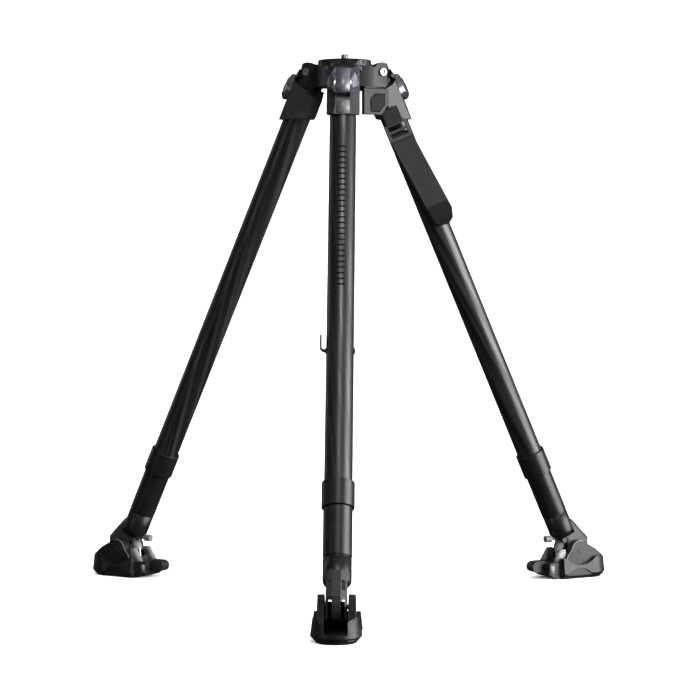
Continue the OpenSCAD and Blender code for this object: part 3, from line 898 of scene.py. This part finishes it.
@dataclass
class Leg:
    """One leg from its shoulder to its end cap. Lines are (outwards, up) in millimetres."""

    bench: Bench
    side: Side
    tube: float = TUBE_RADIUS
    ease: float = 0.9 * MM
    paddle_face: Outline = ((27.4, -14.4), (29.0, -23.0), (32.5, -34.0), (31.7, -42.0), (28.4, -50.4))
    mouth_face: Outline = ((21.4, -60.0), (21.4, -66.0), (19.6, -79.0))
    scale_ends: Tuple[float, float] = (-128, -330)
    scale_step: float = 8 * MM
    rib_ends: Outline = ((32.15, -37.0), (31.75, -41.2))
    rib_step: float = 1.9 * MM

    def build(self) -> None:
        """Dresses the leg's nodes and adds its small parts."""
        b, word, place = self.bench, self.side.word, STANCE.leg(self.side)
        b.finish_node(f"{word}_shoulder", SHOULDER, self.ease)
        b.finish_node(f"{word}_paddle", PADDLE_EAR, 0.9 * MM)
        b.finish_node(f"{word}_paddle_pin", BRIGHT)
        for part in ("upper_tube", "middle_tube", "lower_tube"):
            b.finish_node(f"{word}_{part}", CARBON, shape=wrap_map(place))
        for part in ("upper_collar", "middle_collar"):
            b.finish_node(f"{word}_{part}", COLLAR, 0.5 * MM, 40)
        for part in ("middle_guide", "lower_guide"):
            b.finish_node(f"{word}_{part}", GUIDE)
        b.finish_node(f"{word}_end_cap", CAP, 0.0, 40)
        self.panels(place)
        self.ribs(place)
        if self.side is Side.FRONT:
            self.scale(place)

    def panels(self, place: Matrix) -> None:
        """Sets the pale centre panel on the paddle and the plate on the sleeve's mouth.

        Args:
            place: the leg's frame.
        """
        b, word = self.bench, self.side.word
        panel = b.band(self.paddle_face, 0.45, 9.6, place)
        b.new(f"{word}_paddle_panel", panel, PADDLE, f"{word}_paddle", "paddle_metal")
        plate = b.band(self.mouth_face, 0.5, 9.4, place)
        b.new(f"{word}_mouth_plate", plate, PANEL, f"{word}_upper", "shoulder_metal")

    def scale(self, place: Matrix) -> None:
        """Sets a plain height scale of short bars down the face of the tube.

        Args:
            place: the leg's frame.
        """
        steps, half, tall = 6, math.radians(17), 1.1 * MM
        radii = (self.tube - 0.1 * MM, self.tube + 0.12 * MM)
        turns = [-half + 2 * half * i / steps for i in range(steps + 1)]
        corners = [(r * math.cos(a) - self.tube, r * math.sin(a), z)
                   for z in (-tall, tall) for r in radii for a in turns]
        row, level = steps + 1, 2 * (steps + 1)
        faces: List[List[int]] = []
        for i in range(steps):
            for a, c in ((0, row), (row, level + row), (level + row, level), (level, 0)):
                faces.append([a + i, a + i + 1, c + i + 1, c + i])
        for i in (0, steps):
            faces.append([i, row + i, level + row + i, level + i])
        bar = self.bench.solid(corners, faces, place.to_3x3().to_4x4())
        line = [place @ Vector((self.tube, 0, z * MM)) for z in self.scale_ends]
        Row().lay(self.bench, "tube_scale", [line], bar, self.scale_step, SCALE, "front_upper", "carbon")

    def ribs(self, place: Matrix) -> None:
        """Sets plain grip ribs across the paddle's lower panel.

        Args:
            place: the leg's frame.
        """
        word, turn = self.side.word, Matrix.Rotation(math.radians(8), 4, "Y")
        facing = place.to_3x3().to_4x4() @ turn @ Matrix.Rotation(math.pi / 2, 4, "Y")
        shape = self.bench.prism(oblong(0.4, 6), -0.3 * MM, 0.35 * MM, facing)
        line = [place @ Vector((x * MM, 0, z * MM)) for x, z in self.rib_ends]
        Row().lay(self.bench, f"{word}_paddle_ribs", [line], shape, self.rib_step, PANEL,
                  f"{word}_paddle", "paddle_metal")


@dataclass
class Foot:
    """Ankle link, spike, shoe and latch knob of one leg. Lines are in millimetres.

    `ring` is the section (radius, along the spike) of the ring round the spike. `arm` and `insert`
    are outlines of the cheek seen from the side, `boss` is its round (outwards, up, radius), and
    `rim_arc` the part of the round that the rim follows, in degrees. The rim is a pale strip that
    paints the highlight on the cheek's rear edge, together with some edge wear.
    """

    bench: Bench
    side: Side
    ring: Outline = ((6.0, 8.5), (6.5, 9.0), (6.7, 21.6), (6.3, 22.7), (4.8, 22.9), (4.8, 22.0))
    arm: Outline = ((-57.4, 24.3), (-46.3, 42.4), (-37.7, 42.4), (-37.7, 24.3))
    insert: Outline = ((-65.5, 9.0), (-65.5, 20.5), (-59.0, 20.5), (-59.0, 9.0))
    boss: Point = (-15, 40, 15.5)
    rim_arc: range = range(70, 176, 15)
    tread_ends: Tuple[float, float] = (-42, 24)
    tread_step: float = 6 * MM

    def build(self) -> None:
        """Dresses the foot's nodes and adds its small parts."""
        b, word = self.bench, self.side.word
        b.finish_node(f"{word}_stirrup", LINK, 0.5 * MM)
        b.finish_node(f"{word}_spike", SPIKE, 0.0, 30)
        b.finish_node(f"{word}_foot_pin", LINK, 0.4 * MM, 40)
        b.finish_node(f"{word}_shoe", SHOE, 1.0 * MM)
        b.finish_node(f"{word}_latch_knob", LATCH, 0.3 * MM, 40)
        place = STANCE.floor(self.side)
        start, slope = Matrix.Translation((-30 * MM, 0, 60 * MM)), Matrix.Rotation(math.radians(200), 4, "Y")
        ring = b.turned(self.ring, place @ start @ slope)
        b.new(f"{word}_spike_ring", ring, ARM, b.bodies[f"{word}_stirrup"], "link_metal")
        for hand, sign in (("near", -1), ("far", 1)):
            self.trim(place, hand, sign)
        self.tread(place)

    def trim(self, place: Matrix, hand: str, sign: int) -> None:
        """Adds the grey arms, the insert and the rim of one cheek; the rim is a pale strip, a painted
        highlight on the cheek's rear edge with some edge wear.

        Args:
            place: upright frame over the foot's floor point.
            hand: word for the side.
            sign: -1 or 1, the side they stand on.
        """
        b, word = self.bench, self.side.word

        def slab(name: str, outline: Outline, low: float, high: float) -> None:
            """Adds one flat piece between two distances sideways, in millimetres."""
            points = [(x * MM, z * MM) for x, z in outline]
            mesh = b.prism(points, sign * low * MM, sign * high * MM, place @ SIDEWAYS, 0.2 * MM)
            b.new(f"{word}_{hand}_{name}", mesh, ARM, f"{word}_shoe", "shoe_rubber")

        slab("arm", self.arm, 14.5, 19.4)
        slab("insert", self.insert, 21.9, 22.5)

        def rim(grow: float) -> List[Tuple[float, float]]:
            """Traces the rear edge of the cheek at a distance from the boss."""
            x, z, radius = self.boss
            arc = [math.radians(t) for t in self.rim_arc]
            line = [(x + (radius + grow) * math.cos(a), z + (radius + grow) * math.sin(a)) for a in arc]
            return line + [(-36.6 - grow, 34.2 + grow * 0.2), (-48.6 - grow, 7.0)]

        # The rim: a pale strip along the cheek's rear edge that paints its highlight, partly edge wear.
        outer, inner = rim(-0.15), rim(-1.35)
        slab("rim", [*outer, *reversed(inner)], 23.5, 24.05)

    def tread(self, place: Matrix) -> None:
        """Sets rubber bars across the sole, along the foot.

        Args:
            place: upright frame over the foot's floor point.
        """
        word = self.side.word
        shape = self.bench.prism(oblong(1.4, 15), -0.5 * MM, 0.25 * MM, place.to_3x3().to_4x4())
        line = [place @ Vector((x * MM, 0, 0.3 * MM)) for x in self.tread_ends]
        Row().lay(self.bench, f"{word}_tread", [line], shape, self.tread_step, TREAD,
                  f"{word}_shoe", "shoe_rubber")


@dataclass
class Strap:
    """Carrying strap of the right leg with its band, buckle and end patch.

    `seam` gives the ends of the strap's middle line as (across, up) points. It, `inset` (from the
    middle line to a row of stitches) and `face` (the strap's outer face) are in millimetres.
    """

    bench: Bench
    turn: float = -110.0
    inset: float = 14.4
    face: float = 21.25
    seam: Outline = ((-4, -96), (9.6, -210))
    pitch: float = 4.2 * MM
    stitch: Point = (1.5 * MM, 0.35 * MM, 0.35 * MM)

    def build(self) -> None:
        """Dresses the strap's nodes and stitches it."""
        b = self.bench
        place = STANCE.leg(Side.RIGHT) @ Matrix.Rotation(math.radians(self.turn), 4, "Z")
        b.finish_node("strap_anchor", BAND, 0.3 * MM, shape=flat_map(place))
        b.finish_node("strap_buckle", BUCKLE, 0.6 * MM)
        b.finish_node("carry_strap", STRAP, 0.5 * MM, shape=flat_map(place))
        b.finish_node("strap_end", PATCH, 0.5 * MM)
        b.finish_node("hook_clip", CLIP, 0.5 * MM)
        self.stitches(place)

    def stitches(self, place: Matrix) -> None:
        """Sews a row of stitches along each edge of the strap.

        Args:
            place: frame whose X points out of the strap's face and Y runs across it.
        """
        bead = bmesh.new()
        bmesh.ops.create_icosphere(bead, subdivisions=2, radius=1.0)
        bmesh.ops.scale(bead, vec=self.stitch, verts=bead.verts)
        shape = bpy.data.meshes.new("stitch")
        bead.to_mesh(shape)
        bead.free()
        lines = [[place @ Vector((self.face * MM, (y + offset) * MM, z * MM)) for y, z in self.seam]
                 for offset in (-self.inset, self.inset)]
        Row(True).lay(self.bench, "strap_stitches", lines, shape, self.pitch, THREAD,
                      "right_upper", "strap_fabric")


@dataclass(frozen=True)
class Lamp:
    """A soft rectangular studio lamp aimed at a point."""

    name: str
    place: Point
    target: Point
    size: Tuple[float, float]
    power: float

    def hang(self) -> None:
        """Adds the lamp to the scene."""
        data = bpy.data.lights.new(self.name, "AREA")
        data.shape, data.energy = "RECTANGLE", self.power
        data.size, data.size_y = self.size
        lamp = bpy.data.objects.new(self.name, data)
        lamp.location = self.place
        lamp.rotation_euler = (Vector(self.target) - Vector(self.place)).to_track_quat("-Z", "Y").to_euler()
        bpy.context.collection.objects.link(lamp)


@dataclass
class Studio:
    """Camera, pale floor and soft lamps."""

    eye: Point = (0.0851, -3.258, -0.2615)
    pitch: float = -2.446
    turn: float = 1.365
    lens: float = 120.77
    lamps: Tuple[Lamp, ...] = (
        Lamp("key", (2.9, -0.75, -0.05), (0.0, 0.0, -0.40), (2.6, 2.6), 190.0),
        Lamp("fill", (-2.7, -2.3, 0.0), (0.0, 0.0, -0.40), (0.3, 2.6), 9.0),
        Lamp("top", (0.2, -1.9, 1.9), (0.0, 0.0, -0.1), (1.0, 0.8), 26.0),
        Lamp("rim", (-2.4, 1.8, 0.5), (0.0, 0.0, -0.35), (0.4, 2.4), 5.0),
    )

    def camera(self) -> None:
        """Sets the camera up."""
        data = bpy.data.cameras.new("camera")
        data.lens, data.sensor_width = self.lens, 36.0
        data.clip_start, data.clip_end = 0.05, 60.0
        camera = bpy.data.objects.new("camera", data)
        camera.location = self.eye
        camera.rotation_euler = (math.radians(90 + self.pitch), 0, math.radians(self.turn))
        bpy.context.collection.objects.link(camera)
        bpy.context.scene.camera = camera

    def floor(self, level: float) -> None:
        """Lays the pale floor and its curved rise behind.

        Args:
            level: height of the floor.
        """
        front, bend, radius, wall, half = -6.0, 2.6, 1.6, 7.0, 7.0
        curve = [math.radians(t) for t in range(10, 91, 10)]
        rise = [(front, level), (bend, level)]
        rise += [(bend + radius * math.sin(a), level + radius - radius * math.cos(a)) for a in curve]
        rise += [(4.2, level + wall)]
        corners = [(x, y, z) for y, z in rise for x in (-half, half)]
        faces = [(2 * i, 2 * i + 1, 2 * i + 3, 2 * i + 2) for i in range(len(rise) - 1)]
        mesh = bpy.data.meshes.new("floor")
        mesh.from_pydata(corners, [], faces)
        for face in mesh.polygons:
            face.use_smooth = True
        tree = Tree("floor_white")
        dull, pale = (0.90, 0.90, 0.90), (0.93, 0.93, 0.93)
        colour = tree.ramp(tree.noise(3.0), ((0.2, dull), (0.8, pale)))
        tree.link(colour, tree.shader.inputs["Base Color"])
        tree.shader.inputs["Roughness"].default_value = 0.9
        tree.shader.inputs["Specular IOR Level"].default_value = 0.1
        mesh.materials.append(tree.material)
        floor = bpy.data.objects.new("floor", mesh)
        floor.visible_diffuse = floor.visible_glossy = False
        ground = bpy.data.collections.new("ground")
        bpy.context.scene.collection.children.link(ground)
        ground.objects.link(floor)
        floor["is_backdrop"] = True
        for name, tilt, strength in (("sky", 0.0, 3.6), ("front_sky", 70.0, 2.2)):
            sky = bpy.data.lights.new(name, "SUN")
            sky.energy, sky.angle = strength, math.radians(150)
            lamp = bpy.data.objects.new(name, sky)
            lamp.rotation_euler = (math.radians(tilt), 0, 0)
            bpy.context.collection.objects.link(lamp)
            lamp.light_linking.receiver_collection = ground

    def light(self) -> None:
        """Hangs the lamps and sets the dim surround."""
        for lamp in self.lamps:
            lamp.hang()
        world = bpy.data.worlds.new("surround")
        world.use_nodes = True
        background = world.node_tree.nodes["Background"]
        background.inputs["Color"].default_value = (1.0, 1.0, 1.0, 1.0)
        background.inputs["Strength"].default_value = 0.04
        bpy.context.scene.world = world
        bpy.context.scene.view_settings.view_transform = "Standard"

    def build(self, level: float) -> None:
        """Sets the whole studio up.

        Args:
            level: height of the floor.
        """
        self.camera()
        self.floor(level)
        self.light()


def main() -> None:
    """Loads the frame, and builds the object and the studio."""
    logging.basicConfig(level=logging.INFO, format="%(name)s: %(message)s")
    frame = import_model()
    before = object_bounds()
    Studio().build(before[0].z)
    bench = Bench(frame)
    Head(bench).build()
    for side in Side:
        Leg(bench, side).build()
        Foot(bench, side).build()
    Strap(bench).build()


if __name__ == "__main__":
    main()
